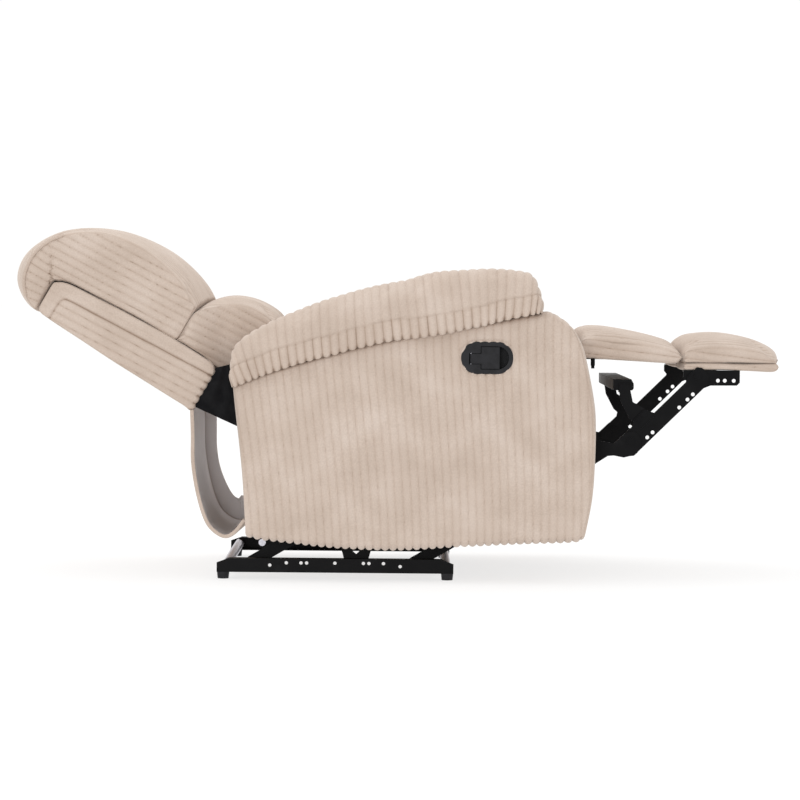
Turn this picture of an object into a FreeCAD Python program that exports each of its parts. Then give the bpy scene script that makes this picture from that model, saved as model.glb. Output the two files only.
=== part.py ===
import FreeCAD, Part
import math
import os

# Reclining armchair, stored fully reclined with the footrest out.
# Millimetres. +X towards the footrest, +Y the sitter's left, +Z up, floor at z = 0,
# origin under the middle of the bounding box.
os.makedirs("parts", exist_ok=True)

V = FreeCAD.Vector

# ---- driving dimensions -------------------------------------------------------------
ARM_OUT = 395.0          # outermost half width, over the arm pads
PANEL_OUT = 370.0        # half width over the side panels
PANEL_IN = 262.0         # inner face of the arm boxes
PANEL_WALL = 18.0
PAD_HALF = 250.0         # half width of the footrest pads
BACK_HALF = 300.0        # half width of the back

PLATE = (234.0, 237.0)   # half-width layers of the steel parts, from the middle out
BRACKET = (240.0, 243.0)
LIFT = (244.0, 247.0)
CRANK = (249.0, 252.0)
RAIL = (255.0, 280.0)

PIN_R = 5.0
PIN_PLAY = 0.05
BACK_PIN_R = 6.0
TUBE_R = 10.0

SWING = (95.0, 55.0)             # both swing links, from the base pivot to the carriage pivot
REAR_BASE = (-298.0, 33.0)
FRONT_BASE = (41.0, 33.0)
REAR_TOP = (REAR_BASE[0] + SWING[0], REAR_BASE[1] + SWING[1])
FRONT_TOP = (FRONT_BASE[0] + SWING[0], FRONT_BASE[1] + SWING[1])
BACK_PIVOT = (-366.0, 392.0)
CRANK_PIVOT = (265.4, 337.1)
KNEE = (491.6, 292.3)
FOOT_PIVOT = (630.2, 429.2)
PAD_HINGE = (404.0, 474.0)

SEAT_REAR = (-300.0, 322.0)      # top edge of the seat rails
SEAT_FRONT = (338.0, 415.0)
SEAT_RAIL_H = 54.0


# ---- helpers ------------------------------------------------------------------------
def prism(points, y0, y1):
    """A polygon in the XZ plane, swept along Y from y0 to y1."""
    wire = Part.makePolygon([V(x, y0, z) for x, z in points] + [V(points[0][0], y0, points[0][1])])
    return Part.Face(wire).extrude(V(0, y1 - y0, 0))


def box(x0, x1, y0, y1, z0, z1):
    return Part.makeBox(x1 - x0, y1 - y0, z1 - z0, V(x0, y0, z0))


def rod(centre, r, y0, y1):
    """A round bar along Y."""
    return Part.makeCylinder(r, y1 - y0, V(centre[0], y0, centre[1]), V(0, 1, 0))


def upright(x, y, r, z0, z1):
    """A round bar along Z."""
    return Part.makeCylinder(r, z1 - z0, V(x, y, z0), V(0, 0, 1))


def fuse(first, *others):
    return first.fuse(list(others)).removeSplitter()


def mirrored(shape):
    """The same piece on the other side of the seat."""
    return shape.mirror(V(0, 0, 0), V(0, 1, 0))


def both(shape):
    """A group of two solids: the piece and its mirror image."""
    return Part.makeCompound([shape, mirrored(shape)])


def strap(a, b, r, y0, y1):
    """A flat bar with round ends of radius r, from a to b."""
    dx, dz = b[0] - a[0], b[1] - a[1]
    n = math.hypot(dx, dz)
    ox, oz = -dz / n * r, dx / n * r
    bar = prism([(a[0] + ox, a[1] + oz), (b[0] + ox, b[1] + oz),
                 (b[0] - ox, b[1] - oz), (a[0] - ox, a[1] - oz)], y0, y1)
    return fuse(bar, rod(a, r, y0, y1), rod(b, r, y0, y1))


def stadium(cx, cz, length, height, y0, y1):
    """A plate with two half-round ends."""
    half = (length - height) / 2
    return strap((cx - half, cz), (cx + half, cz), height / 2, y0, y1)


def inset(points, distance):
    """The polygon moved inwards by a distance, as corner points."""
    wire = Part.makePolygon([V(x, 0, z) for x, z in points] + [V(points[0][0], 0, points[0][1])])
    ring = wire.makeOffset2D(-distance, 2)
    return [(v.X, v.Z) for v in ring.OrderedVertexes]


def save(name, shape):
    """Both halves of a mirrored piece may be handed in as one list."""
    shape.exportStep("parts/" + name + ".step")


def save_pair(name, right):
    """right is modelled on the -Y side; the left one is its mirror image."""
    save(name + "_right", right)
    save(name + "_left", mirrored(right))


# ---- base: two drilled channel rails on feet, tied by two round tubes ------------------
RAIL_X = (-370.0, 123.0)
RAIL_Z = (14.0, 43.0)
RAIL_T = 2.5
RAIL_HOLES = [(-259.4, 29), (-225, 34), (-194.5, 34), (-182.8, 34), (-123.9, 34),
              (-64.6, 34), (-53, 34), (-22.8, 34), (12, 28)]
TUBE_FRONT = (108.0, 28.5)
TUBE_REAR = (-350.0, 28.5)
BASE_TUBE_R = 10.0

rail_side = [(RAIL_X[0], RAIL_Z[0]), (RAIL_X[1], RAIL_Z[0]), (RAIL_X[1], 34), (RAIL_X[1] - 25, RAIL_Z[1]),
             (RAIL_X[0] + 25, RAIL_Z[1]), (RAIL_X[0], 34)]
rail = prism(rail_side, -RAIL[1], -RAIL[0])
hollow = prism([(RAIL_X[0] - 5, RAIL_Z[0] + RAIL_T), (RAIL_X[1] + 5, RAIL_Z[0] + RAIL_T),
                (RAIL_X[1] + 5, RAIL_Z[1] - RAIL_T), (RAIL_X[0] - 5, RAIL_Z[1] - RAIL_T)],
               -RAIL[1] + RAIL_T, -RAIL[0] + 1)
rail = rail.cut(hollow)
for hx, hz in RAIL_HOLES:
    rail = rail.cut(rod((hx, hz), 3.5, -RAIL[1] - 1, -RAIL[1] + RAIL_T + 1))
save_pair("base_rail", rail)

TUBE_HALF = RAIL[1] - RAIL_T
for name, centre in (("base_tube_front", TUBE_FRONT), ("base_tube_rear", TUBE_REAR)):
    tube = rod(centre, BASE_TUBE_R, -TUBE_HALF, TUBE_HALF)
    save(name, tube.cut(rod(centre, BASE_TUBE_R - 1.5, -TUBE_HALF, TUBE_HALF)))

FOOT_X = (-357.0, 110.0)
foot_solids = []
for fx in FOOT_X:
    for side in (-1, 1):
        foot_solids.append(Part.makeCone(11.5, 13.0, 14.0, V(fx, side * 267.5, 0), V(0, 0, 1)))
save("base_feet", Part.makeCompound(foot_solids))

base_studs = []
for pivot in (REAR_BASE, FRONT_BASE):
    stud = fuse(rod(pivot, PIN_R, -TUBE_HALF, -BRACKET[0] + 0.3),
                rod(pivot, 7.0, -TUBE_HALF, -BRACKET[1] - 0.3),
                rod(pivot, 8.0, -BRACKET[0] + 0.3, -BRACKET[0] + 2.0))
    base_studs += [stud, mirrored(stud)]
save("base_pivots", Part.makeCompound(base_studs))

STOP = [(-106, 43), (-54, 43), (-46, 70), (-58, 72), (-80, 52), (-100, 68), (-112, 66)]
save("base_stops", both(prism(STOP, -259.5, -256.5)))

# ---- swing links: the body rides back and up on these when the sitter comes upright ----
for name, low, high in (("rear_swing_links", REAR_BASE, REAR_TOP), ("front_swing_links", FRONT_BASE, FRONT_TOP)):
    link = strap(low, high, 13.0, -BRACKET[1], -BRACKET[0])
    for end in (low, high):
        link = link.cut(rod(end, PIN_R + PIN_PLAY, -BRACKET[1] - 1, -BRACKET[0] + 1))
    save(name, both(link))


# ---- carriage: side plates, seat frame and seat ---------------------------------------
def seat_line(x):
    """Height of the top edge of the seat rails at x."""
    slope = (SEAT_FRONT[1] - SEAT_REAR[1]) / (SEAT_FRONT[0] - SEAT_REAR[0])
    return SEAT_REAR[1] + slope * (x - SEAT_REAR[0])


PLATE_SIDE = [(-378, 411), (-346, 411), (-300, 314), (285, seat_line(285) - 6), (292, 345), (280, 318), (250, 312),
              (172, 300), (166, 110), (156, 72), (118, 70), (100, 100), (60, 180), (-120, 180), (-180, 110),
              (-188, 70), (-218, 70), (-230, 100), (-244, 200), (-316, 320), (-345, 362), (-376, 373), (-386, 392)]
PLATE_BOLT_X = (-220.0, 20.0, 230.0)
SPACERS = [(-250.0, 288.0), (60.0, 316.0)]

plate = prism(PLATE_SIDE, -PLATE[1], -PLATE[0])
plate = plate.cut(rod(CRANK_PIVOT, TUBE_R + PIN_PLAY, -PLATE[1] - 1, -PLATE[0] + 1))
plate = plate.cut(rod(BACK_PIVOT, BACK_PIN_R, -PLATE[1] - 1, -PLATE[0] + 1))
for pivot in (REAR_TOP, FRONT_TOP):
    plate = plate.cut(rod(pivot, PIN_R, -PLATE[1] - 1, -PLATE[0] + 1))
bolt_spots = [(x, seat_line(x) - SEAT_RAIL_H / 2) for x in PLATE_BOLT_X]
for spot in bolt_spots:
    plate = plate.cut(rod(spot, 4.0, -PLATE[1] - 1, -PLATE[0] + 1))
save_pair("side_plate", plate)

studs = []
for pivot, r, head in ((REAR_TOP, PIN_R, 8.0), (FRONT_TOP, PIN_R, 8.0), (BACK_PIVOT, BACK_PIN_R, 10.0)):
    stud = fuse(rod(pivot, r, -BRACKET[1] - 0.3, -PLATE[0]),
                rod(pivot, head, -PLATE[1] - 2.7, -PLATE[1]),
                rod(pivot, head, -BRACKET[1] - 2.5, -BRACKET[1] - 0.3))
    studs += [stud, mirrored(stud)]
save("carriage_pivots", Part.makeCompound(studs))

RAIL_IN = 214.0
side_rail = prism([(SEAT_REAR[0], SEAT_REAR[1] - SEAT_RAIL_H), (SEAT_FRONT[0], SEAT_FRONT[1] - SEAT_RAIL_H),
                   SEAT_FRONT, SEAT_REAR], -PLATE[0], -RAIL_IN)
for spot in bolt_spots:
    side_rail = side_rail.cut(rod(spot, 4.0, -PLATE[0] - 1, -RAIL_IN + 1))
save("seat_rails_side", both(side_rail))


def cross_rail(x0, x1):
    """A seat frame rail between the side rails, under the seat line."""
    return prism([(x0, seat_line(x0) - SEAT_RAIL_H), (x1, seat_line(x1) - SEAT_RAIL_H),
                  (x1, seat_line(x1)), (x0, seat_line(x0))], -RAIL_IN, RAIL_IN)


save("seat_rail_front", cross_rail(SEAT_FRONT[0] - 22, SEAT_FRONT[0]))
save("seat_rail_rear", cross_rail(SEAT_REAR[0], SEAT_REAR[0] + 22))

bolts = []
for spot in bolt_spots:
    bolt = fuse(rod(spot, 4.0, -PLATE[1] - 0.2, -RAIL_IN + 6),
                rod(spot, 8.0, -PLATE[1] - 2.5, -PLATE[1]),
                rod(spot, 7.0, -RAIL_IN, -RAIL_IN + 6))
    bolts += [bolt, mirrored(bolt)]
save("seat_bolts", Part.makeCompound(bolts))

# Zigzag springs: a wire of round bends and straight runs, on the seat line.
SPRING_Y = (-160.0, -80.0, 0.0, 80.0, 160.0)
SPRING_WIRE_R = 1.8
SPRING_PITCH = 40.0
SPRING_HALF = 22.0


def zigzag(y_mid):
    """One seat spring in the seat plane, from rail to rail."""
    slope = (SEAT_FRONT[1] - SEAT_REAR[1]) / (SEAT_FRONT[0] - SEAT_REAR[0])
    along = V(1, 0, slope).normalize()
    start = V(SEAT_REAR[0] + 14, 0, seat_line(SEAT_REAR[0] + 14) + SPRING_WIRE_R + 0.3)
    length = (SEAT_FRONT[0] - SEAT_REAR[0] - 28) / along.x
    bends = int(length // SPRING_PITCH)
    pitch = length / bends
    r = pitch / 2

    def at(u, y):
        return start + along * u + V(0, y_mid + y, 0)

    edges = []
    for i in range(bends):
        side = 1 if i % 2 == 0 else -1
        u = i * pitch
        edges.append(Part.makeLine(at(u, -side * 1), at(u, side * SPRING_HALF)) if i else
                     Part.makeLine(at(u, 0), at(u, side * SPRING_HALF)))
        edges.append(Part.Arc(at(u, side * SPRING_HALF), at(u + r, side * (SPRING_HALF + r)),
                              at(u + pitch, side * SPRING_HALF)).toShape())
        edges.append(Part.makeLine(at(u + pitch, side * SPRING_HALF),
                                   at(u + pitch, side * 1 if i < bends - 1 else 0)))
    wire = Part.Wire(edges)
    ring = Part.Wire(Part.makeCircle(SPRING_WIRE_R, at(0, 0), V(0, 1, 0)))
    return wire.makePipeShell([ring], True, False)


springs = [zigzag(y) for y in SPRING_Y]
save("seat_springs", Part.makeCompound(springs))

CUSHION_BASE = 2 * SPRING_WIRE_R + 0.6
SEAT_CUSHION = [(SEAT_REAR[0], SEAT_REAR[1] + CUSHION_BASE), (SEAT_FRONT[0], SEAT_FRONT[1] + CUSHION_BASE),
                (338, 484), (396, 492), (399, 508), (392, 522), (330, 508), (200, 480), (-160, 408), (-296, 380)]
save("seat_cushion", prism(SEAT_CUSHION, -252, 252))

spacers = []
for spot in SPACERS:
    spacer = rod(spot, 12.0, -PANEL_IN, -PLATE[1])
    spacers += [spacer, mirrored(spacer)]
save("arm_spacers", Part.makeCompound(spacers))

# ---- arms: an upholstered box over a board frame, with a padded top ----------------------
ARM_SEAM = [(-337, 407), (-266, 436), (-194, 459), (-93, 488), (10, 512), (110, 532), (214, 548), (301, 563)]
PANEL_SIDE = ARM_SEAM + [(340, 548), (368, 525), (386, 487), (399, 433), (410, 370), (413, 320), (412, 240),
                         (408, 177), (388, 93), (250, 84), (108, 80), (-81, 77), (-298, 95), (-303, 114)]
ARM_PAD = ARM_SEAM + [(310, 585), (304, 612), (284, 640), (240, 648), (192, 650), (130, 648), (70, 641), (-12, 623),
                      (-93, 603), (-195, 565), (-276, 530), (-333, 488), (-340, 450)]

panel = prism(PANEL_SIDE, -PANEL_OUT, -PANEL_IN)
room = prism(inset(PANEL_SIDE, PANEL_WALL), -PANEL_OUT + PANEL_WALL, -PANEL_IN - 6)
room = room.fuse(box(-270, 360, -PANEL_OUT + PANEL_WALL, -PANEL_IN - 6, 60, 140)).removeSplitter()
panel = panel.cut(room)
panel_left = mirrored(panel)

FRAME_IN = 270.0
board = prism(inset(PANEL_SIDE, 22), -FRAME_IN - 16, -FRAME_IN)
posts = [box(326, 354, -350, -FRAME_IN - 16, 118, 470),
         box(-280, -254, -350, -FRAME_IN - 16, 118, 380),
         box(-254, 326, -350, -FRAME_IN - 16, 118, 146)]
frame = fuse(board, *posts)
save_pair("arm_frame", frame)

pad = prism(ARM_PAD, -ARM_OUT, -258)
save_pair("arm_pad", pad)

# ---- release handle: a cup let into the right-hand panel, and a lever in it ---------------
CUP = (186.4, 466.4)
CUP_SIZE = (107.0, 66.0)
CUP_BODY = (95.0, 54.0)
CUP_DEEP = 28.0
LEVER_PIN = (153.5, -369.5)
LEVER_PIN_R = 1.5
face = -PANEL_OUT

opening = stadium(CUP[0], CUP[1], CUP_BODY[0], CUP_BODY[1], face - 1, face + PANEL_WALL + 1)
panel = panel.cut(opening)
save("side_panel_right", panel)
save("side_panel_left", panel_left)

cup = fuse(stadium(CUP[0], CUP[1], CUP_SIZE[0], CUP_SIZE[1], face - 4, face),
           stadium(CUP[0], CUP[1], CUP_BODY[0], CUP_BODY[1], face, face + CUP_DEEP))
pocket = fuse(stadium(200.8, CUP[1], 60.5, 47.5, face - 5, face + CUP_DEEP - 3),
              box(173.2, 200, face - 5, face + 8, CUP[1] - 23.75, CUP[1] + 23.75),
              box(149.3, 190, face - 5, face + 8, 453.2, 475.8))
cup = cup.cut(pocket)
pin = upright(LEVER_PIN[0], LEVER_PIN[1], LEVER_PIN_R, 449, 480)
cup = cup.cut(pin)
save("handle_cup", cup)
save("handle_pin", pin)

lever = fuse(box(153.5, 178, face - 3, face + 2, 454.2, 474.8),
             box(174.5, 211.8, face - 3, face + 2, 443.9, 488.7),
             upright(LEVER_PIN[0], LEVER_PIN[1], 2.9, 454.2, 474.8))
lever = lever.cut(upright(LEVER_PIN[0], LEVER_PIN[1], LEVER_PIN_R + PIN_PLAY, 440, 490))
save("handle_lever", lever)

# ---- back: board frame in an upholstered tray, with a head pillow and a lumbar pillow ------
BACK_START = (-408.0, 405.0)
BACK_TILT = math.radians(30.0)


def back_point(u, w):
    """A point u along the back from its lower end, and w out from its middle plane."""
    return (BACK_START[0] - u * math.cos(BACK_TILT) + w * math.sin(BACK_TILT),
            BACK_START[1] + u * math.sin(BACK_TILT) + w * math.cos(BACK_TILT))


def back_bar(u0, u1, w0, w1, y0, y1):
    return prism([back_point(u0, w0), back_point(u1, w0), back_point(u1, w1), back_point(u0, w1)], y0, y1)


BACK_RAIL = (243.0, 271.0)
back_bolt_spots = [back_point(36, -2), back_point(84, -2)]
ladder = back_bar(0, 335, -20, 20, -BACK_RAIL[1], -BACK_RAIL[0])
for spot in back_bolt_spots:
    ladder = ladder.cut(rod(spot, 4.0, -BACK_RAIL[1] - 1, -BACK_RAIL[0] + 1))
bars = [mirrored(ladder)]
for u0, u1 in ((110, 150), (215, 255), (295, 335)):
    bars.append(back_bar(u0, u1, -14, 14, -BACK_RAIL[0], BACK_RAIL[0]))
save("back_frame", fuse(ladder, *bars))

SHELL = [(-424, 351), (-717, 541), (-743, 565), (-740, 572), (-690, 607), (-376, 437), (-378, 424)]
shell = prism(SHELL, -BACK_HALF, BACK_HALF)
tray = prism([(-380, 337), (-412, 358), (-700, 545), (-722, 566), (-716, 574), (-690, 590),
              (-690, 630), (-340, 440), (-340, 360)], -BACK_HALF + 20, BACK_HALF - 20)
shell = shell.cut(tray)
save("back_shell", shell)

HEAD_PILLOW = [(-461, 483.4), (-690, 607.6), (-744, 573), (-748, 563), (-736, 547), (-772, 572), (-812, 606),
               (-825, 640), (-808, 680), (-755, 714), (-668, 733), (-585, 722), (-505, 675), (-442, 612), (-418, 566)]
LUMBAR_PILLOW = [(-377, 438.2), (-460.4, 483.2), (-417.4, 565), (-392, 584), (-352, 592), (-300, 578),
                 (-240, 548), (-250, 520), (-300, 470), (-346, 424)]
save("head_pillow", prism(HEAD_PILLOW, -BACK_HALF, BACK_HALF))
save("lumbar_pillow", prism(LUMBAR_PILLOW, -250, 250))

BACK_ARM = [(-348, 397), (-352, 380), (-370, 374), (-420, 388), (-494, 428), (-502, 446), (-494, 460),
            (-420, 432), (-376, 411), (-356, 409)]
arm = prism(BACK_ARM, -BRACKET[1], -BRACKET[0])
arm = arm.cut(rod(BACK_PIVOT, BACK_PIN_R + PIN_PLAY, -BRACKET[1] - 1, -BRACKET[0] + 1))
for spot in back_bolt_spots:
    arm = arm.cut(rod(spot, 4.0, -BRACKET[1] - 1, -BRACKET[0] + 1))
save_pair("back_bracket", arm)

bolts = []
for spot in back_bolt_spots:
    bolt = fuse(rod(spot, 4.0, -BACK_RAIL[1] - 4, -BRACKET[0] + 0.2),
                rod(spot, 7.5, -BRACKET[0], -BRACKET[0] + 2.4),
                rod(spot, 7.0, -BACK_RAIL[1] - 5, -BACK_RAIL[1]))
    bolts += [bolt, mirrored(bolt)]
save("back_bolts", Part.makeCompound(bolts))

# ---- cloth at the back: side gussets and the rear flap with its lining ---------------------
GUSSET = [(-372, 426), (-341, 426), (-337.5, 407), (-327.6, 321), (-331, 317), (-364, 339), (-405, 366)]
save("side_gussets", both(prism(GUSSET, -305, -303)))

FLAP = [(-421, 346), (-419, 242), (-408, 180), (-393, 124), (-377, 101), (-353, 86), (-332, 92), (-310, 122)]


def sheet(points, side, thick):
    """A bent sheet: the line of points, moved sideways by side, with a thickness."""
    normals = []
    for i, p in enumerate(points):
        a = points[max(i - 1, 0)]
        b = points[min(i + 1, len(points) - 1)]
        n = math.hypot(b[0] - a[0], b[1] - a[1])
        normals.append((-(b[1] - a[1]) / n, (b[0] - a[0]) / n))
    one = [(p[0] + n[0] * side, p[1] + n[1] * side) for p, n in zip(points, normals)]
    two = [(p[0] + n[0] * (side + thick), p[1] + n[1] * (side + thick)) for p, n in zip(points, normals)]
    return one + two[::-1]


FLAP_HALF = 312.0
save("rear_flap", prism(sheet(FLAP, 0, 3.0), -FLAP_HALF, FLAP_HALF))
save("rear_flap_lining", prism(sheet(FLAP, 3.0, 1.5), -FLAP_HALF + 2, FLAP_HALF - 2))

# ---- footrest: two boards with pads, hinged under the seat's front edge ---------------------
MID_BOARD_Z = (464.0, 476.0)
FOOT_BOARD_Z = (441.0, 457.0)
HINGE_Y = 150.0

mid_board = box(405, 594, -240, 240, MID_BOARD_Z[0], MID_BOARD_Z[1])
mid_board = mid_board.cut(box(400, 418, -190, 190, MID_BOARD_Z[0] - 1, MID_BOARD_Z[1] + 1))
save("mid_board", mid_board)
MID_PAD = [(412, 481), (418, 476), (594, 476), (597, 484), (575, 500), (548, 510), (500, 522), (450, 529), (414, 531)]
save("mid_pad", prism(MID_PAD, -PAD_HALF, PAD_HALF))

save("foot_board", box(604, 806, -240, 240, FOOT_BOARD_Z[0], FOOT_BOARD_Z[1]))
FOOT_PAD = [(601, 457), (812, 457), (826, 464), (824, 476), (800, 490), (750, 506), (690, 516), (640, 513),
            (606, 500), (600, 486)]
tie = prism([(540, 461), (598, 461), (604, 457), (680, 457), (680, 460), (606, 460), (600, 464), (540, 464)], -165, -135)
ties = both(tie)
foot_pad = prism(FOOT_PAD, -PAD_HALF, PAD_HALF)
foot_pad = foot_pad.cut(both(box(599, 681, -165.5, -134.5, 456, 460)))
foot_pad = foot_pad.cut(both(box(599, 607, -165.5, -134.5, 456, 465)))
save("foot_pad", foot_pad)
save("board_ties", ties)

FOOT_BRACKET = [(600, 441), (718, 441), (718, 416), (712, 410), (657, 409.5), (638, 402), (616, 408), (600, 426)]
bracket = fuse(prism(FOOT_BRACKET, -BRACKET[1], -BRACKET[0]),
               box(600, 718, -BRACKET[1], -218, 438, 441))
bracket = bracket.cut(rod(FOOT_PIVOT, PIN_R, -BRACKET[1] - 1, -BRACKET[0] + 1))
for hx in (672.4, 686.7, 705.4):
    bracket = bracket.cut(rod((hx, 420), 4.0, -BRACKET[1] - 1, -BRACKET[0] + 1))
save_pair("foot_bracket", bracket)
foot_stud = fuse(rod(FOOT_PIVOT, PIN_R, -LIFT[1] - 0.3, -BRACKET[0]),
                 rod(FOOT_PIVOT, 8.0, -LIFT[1] - 2.0, -LIFT[1] - 0.3))
save("foot_pivots", both(foot_stud))

# Hinge on the seat's front rail: a fixed arm with the pin, and a forked leaf under the board.
HINGE_ARM = [(338, 366), (346, 366), (365, 440), (400, 468), (404, 467), (409, 470), (411, 474), (404, 481),
             (396, 479), (350, 452), (338, 412)]
hinge_arm = prism(HINGE_ARM, -HINGE_Y - 5, -HINGE_Y + 5)
hinge_arm = fuse(hinge_arm, rod(PAD_HINGE, 7.0, -HINGE_Y - 5, -HINGE_Y + 5),
                 rod(PAD_HINGE, 3.5, -HINGE_Y - 25, -HINGE_Y + 25))
save("pad_hinge_arms", both(hinge_arm))

leaf = box(406, 470, -HINGE_Y - 25, -HINGE_Y + 25, 461, 464)
leaf = leaf.cut(box(400, 442, -HINGE_Y - 6.5, -HINGE_Y + 6.5, 455, 470))
for y0, y1 in ((-HINGE_Y - 24, -HINGE_Y - 6.5), (-HINGE_Y + 6.5, -HINGE_Y + 24)):
    knuckle = fuse(rod(PAD_HINGE, 7.0, y0, y1), box(401, 411, y0, y1, 461, 470))
    leaf = leaf.fuse(knuckle)
leaf = leaf.removeSplitter().cut(rod(PAD_HINGE, 3.5 + PIN_PLAY, -HINGE_Y - 30, -HINGE_Y + 30))
save("pad_hinge_leaves", both(leaf))

pad_stud = fuse(upright(411, -236, 4.5, 449, 464), upright(411, -236, 3.5, 443, 449))
save("pad_studs", both(pad_stud))

# ---- footrest linkage: bell cranks on a drive tube, lift links, and a batten they carry ------
CRANK_SIDE = [(262, 361), (300, 347), (370, 306), (422, 293), (442, 290), (456, 287), (478, 308), (492, 313),
              (506, 308), (513, 294), (512, 281), (505, 268), (498, 262), (489, 261), (477, 258), (456, 262),
              (443.5, 261), (423, 248), (400, 233), (384, 234), (330, 272), (258, 314), (243, 326), (242, 348)]
crank = prism(CRANK_SIDE, -CRANK[1], -CRANK[0])
crank = crank.cut(rod(CRANK_PIVOT, TUBE_R, -CRANK[1] - 1, -CRANK[0] + 1))
crank = crank.cut(rod(KNEE, PIN_R, -CRANK[1] - 1, -CRANK[0] + 1))
save_pair("bell_crank", crank)
tube = rod(CRANK_PIVOT, TUBE_R, -CRANK[1], CRANK[1])
save("drive_tube", tube.cut(rod(CRANK_PIVOT, TUBE_R - 2, -CRANK[1] - 1, CRANK[1] + 1)))
knee_stud = fuse(rod(KNEE, PIN_R, -CRANK[1], -LIFT[0] + 0.3),
                 rod(KNEE, 8.0, -CRANK[1] - 2.0, -CRANK[1]),
                 rod(KNEE, 8.0, -LIFT[0] + 0.3, -LIFT[0] + 2.0))
save("knee_pivots", both(knee_stud))

LINK_LENGTH = math.hypot(FOOT_PIVOT[0] - KNEE[0], FOOT_PIVOT[1] - KNEE[1])


def link_point(t, n):
    """A point t along the lift link from the knee, and n to its upper side."""
    ux, uz = (FOOT_PIVOT[0] - KNEE[0]) / LINK_LENGTH, (FOOT_PIVOT[1] - KNEE[1]) / LINK_LENGTH
    return (KNEE[0] + t * ux - n * uz, KNEE[1] + t * uz + n * ux)


LINK_SIDE = [(-22, -18), (-14, -26.5), (200, -26.5), (212, -15), (213, 6), (206, 15), (178, 15), (168, 8.5),
             (76, 8.5), (66, 28), (36, 28), (24, 20), (-26, 21), (-34, 8)]
LINK_RIB = [(27, -2), (30, -4), (104, -4), (107, -2), (107, 2), (104, 4), (30, 4), (27, 2)]
LINK_RIB_H = 0.9
LINK_HOLES = [(30, -18.4), (45.3, -18.6), (121.3, -20), (145.2, -20), (160.8, -20)]
link = prism([link_point(t, n) for t, n in LINK_SIDE], -LIFT[1], -LIFT[0])
link = fuse(link, prism([link_point(t, n) for t, n in LINK_RIB], -LIFT[1] - LINK_RIB_H, -LIFT[1]))
for end in (KNEE, FOOT_PIVOT):
    link = link.cut(rod(end, PIN_R + PIN_PLAY, -LIFT[1] - 1, -LIFT[0] + 1))
for t, n in LINK_HOLES:
    link = link.cut(rod(link_point(t, n), 4.0, -LIFT[1] - 1, -LIFT[0] + 1))
rivet_spots = [(508, 338), (519, 348)]
for spot in rivet_spots:
    link = link.cut(rod(spot, 3.0, -LIFT[1] - 1, -LIFT[0] + 1))
save_pair("lift_link", link)

BATTEN = [(456, 398), (494, 398), (497, 402), (497, 412), (492, 421), (454, 421), (454, 400)]
save("support_batten", prism(BATTEN, -239, 239))
STEM = [(466, 398), (466, 412), (488, 412), (490, 398), (495, 374), (530, 354), (526, 334), (506, 324),
        (488, 340), (470, 374)]
stem = prism(STEM, -BRACKET[1], -BRACKET[0])
stem = fuse(stem, prism([(466, 394), (490, 394), (490, 398), (466, 398)], -BRACKET[1], -215))
for spot in rivet_spots:
    stem = stem.cut(rod(spot, 3.0, -BRACKET[1] - 1, -BRACKET[0] + 1))
save_pair("batten_bracket", stem)
rivets = []
for spot in rivet_spots:
    rivet = fuse(rod(spot, 3.0, -LIFT[1], -BRACKET[0]),
                 rod(spot, 6.0, -LIFT[1] - 1.5, -LIFT[1]),
                 rod(spot, 3.0, -BRACKET[0], -BRACKET[0] + 0.5))
    washer = rod(spot, 5.0, -LIFT[0], -BRACKET[1]).cut(rod(spot, 3.0, -LIFT[0], -BRACKET[1]))
    rivet = fuse(rivet, washer)
    rivets += [rivet, mirrored(rivet)]
save("batten_rivets", Part.makeCompound(rivets))
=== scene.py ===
import bpy
import bmesh
import math
import numpy as np
from mathutils import Matrix, Vector


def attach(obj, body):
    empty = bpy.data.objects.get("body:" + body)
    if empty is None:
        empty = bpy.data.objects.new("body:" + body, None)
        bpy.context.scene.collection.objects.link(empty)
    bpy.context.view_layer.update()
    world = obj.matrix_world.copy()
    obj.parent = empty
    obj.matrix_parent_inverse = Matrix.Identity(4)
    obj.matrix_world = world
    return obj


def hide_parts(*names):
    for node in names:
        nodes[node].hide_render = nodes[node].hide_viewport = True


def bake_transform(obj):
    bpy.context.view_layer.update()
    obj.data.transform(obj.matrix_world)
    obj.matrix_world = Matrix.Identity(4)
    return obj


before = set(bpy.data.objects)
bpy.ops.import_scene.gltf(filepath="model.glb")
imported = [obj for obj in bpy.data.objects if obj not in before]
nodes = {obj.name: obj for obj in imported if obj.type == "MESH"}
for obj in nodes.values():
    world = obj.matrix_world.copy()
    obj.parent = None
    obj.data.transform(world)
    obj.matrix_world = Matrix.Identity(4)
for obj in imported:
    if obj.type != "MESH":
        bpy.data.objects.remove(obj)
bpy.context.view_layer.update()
stage_scene = bpy.context.scene

# ---------------------------------------------------------------- camera and studio
# A long lens a little above arm height, level with the chair's side, on a pale seamless floor lit from below, which
# softens shadows. The light is a white room with a large soft panel overhead and another beside the camera.
CAMERA_PLACE = (0.0087, -6.8, 0.62)
CAMERA_DROP = 2.15
CAMERA_ROLL = 0.5
LENS = 141.35
ROOM_LIGHT = 1.02
camera_data = bpy.data.cameras.new("studio_camera")
camera_data.sensor_width = 36
camera_data.lens = LENS
camera_data.clip_end = 200
camera = bpy.data.objects.new("studio_camera", camera_data)
tilt = Matrix.Rotation(math.radians(90 - CAMERA_DROP), 4, "X") @ Matrix.Rotation(math.radians(CAMERA_ROLL), 4, "Z")
camera.matrix_world = Matrix.Translation(CAMERA_PLACE) @ tilt
stage_scene.collection.objects.link(camera)
stage_scene.camera = camera
stage_scene.view_settings.view_transform = "Standard"

world = bpy.data.worlds.new("white_room")
world.use_nodes = True
world.node_tree.nodes["Background"].inputs["Color"].default_value = (1.0, 0.995, 0.99, 1)
world.node_tree.nodes["Background"].inputs["Strength"].default_value = ROOM_LIGHT
stage_scene.world = world


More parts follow.
